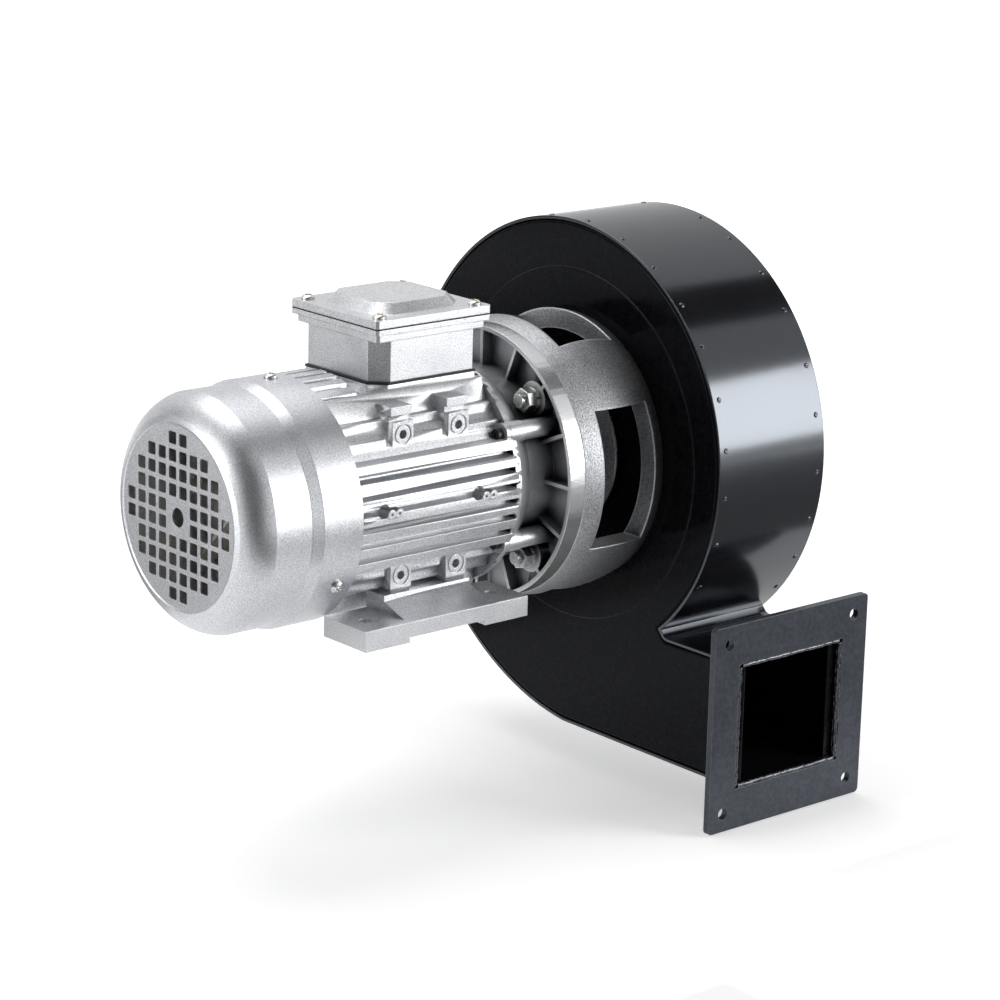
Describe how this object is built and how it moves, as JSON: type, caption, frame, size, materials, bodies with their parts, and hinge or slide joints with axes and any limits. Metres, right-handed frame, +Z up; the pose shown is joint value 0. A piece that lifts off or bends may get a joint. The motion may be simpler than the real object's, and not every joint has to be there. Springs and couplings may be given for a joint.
{
  "type": "centrifugal blower",
  "caption": "Foot mounted electric motor with finned housing, cast lantern and sheet steel volute housing a radial impeller, with a square bolted outlet flange.",
  "frame": {"origin": "middle of the four motor foot holes, on the underside of the feet; the shaft axis is 71 mm above it", "axes": "+X along the shaft from the fan cowl to the volute, -Y out of the outlet flange, +Z up"},
  "size_m": [0.3873, 0.2984, 0.332],
  "materials": {
    "cowl_paint": "fine sparkle silver paint",
    "cast_paint": "silver paint over cast aluminium",
    "zinc": "zinc plated",
    "nickel": "bright nickel",
    "black_plastic": "matte",
    "steel": "turned",
    "bearing_steel": "ground",
    "laminations": "stacked laminations",
    "copper": "enamelled copper wire",
    "black_rubber": "matte",
    "raw_cast": "rough sand cast",
    "gloss_black": "gloss black enamel",
    "satin_black": "satin black",
    "sheet_aluminium": "mill finish sheet",
    "brass": "turned"
  },
  "bodies": {
    "casing": {"fan_cowl": "cowl_paint", "cowl_screws": "zinc", "rear_endshield": "cast_paint", "rear_bearing_outer": "bearing_steel", "wave_spring": "steel", "rear_shield_screws": "zinc", "stator_housing": "cast_paint", "stator_core": "laminations", "windings": "copper", "flange_endshield": "cast_paint", "front_bearing_outer": "bearing_steel", "shaft_seal": "black_rubber", "front_shield_screws": "zinc", "left_foot": "cast_paint", "right_foot": "cast_paint", "foot_bolts": "zinc", "lantern": "raw_cast", "flange_studs": "zinc", "flange_nuts": "zinc", "spring_washers": "zinc", "near_plate": "gloss_black", "scroll_wrap": "gloss_black", "far_plate": "gloss_black", "outlet_flange": "satin_black", "volute_screws": "zinc", "inlet_nozzle": "gloss_black", "inlet_screws": "zinc", "box_gasket": "black_rubber", "terminal_box": "cast_paint", "box_screws": "zinc", "terminal_block": "black_plastic", "terminal_studs": "brass", "terminal_nuts": "brass", "terminal_links": "brass", "lid_gasket": "black_rubber", "terminal_lid": "cast_paint", "lid_screws": "nickel", "cable_gland": "black_plastic", "gland_nut": "black_plastic"},
    "rotor": {"cooling_fan": "black_plastic", "fan_circlip": "steel", "rear_bearing_balls": "bearing_steel", "rear_bearing_inner": "bearing_steel", "rotor_core": "laminations", "shaft": "steel", "impeller_key": "steel", "front_bearing_balls": "bearing_steel", "front_bearing_inner": "bearing_steel", "cooling_disc": "raw_cast", "disc_set_screw": "steel", "impeller_back": "sheet_aluminium", "impeller_blades": "sheet_aluminium", "impeller_shroud": "sheet_aluminium", "impeller_hub": "sheet_aluminium", "hub_rivets": "zinc", "impeller_washer": "zinc", "impeller_bolt": "zinc"}
  },
  "joints": [
    {"name": "rotor_spin", "type": "hinge", "parent": "casing", "child": "rotor", "pos_m": [0, 0, 0.071], "axis": [1, 0, 0], "continuous": true}
  ]
}
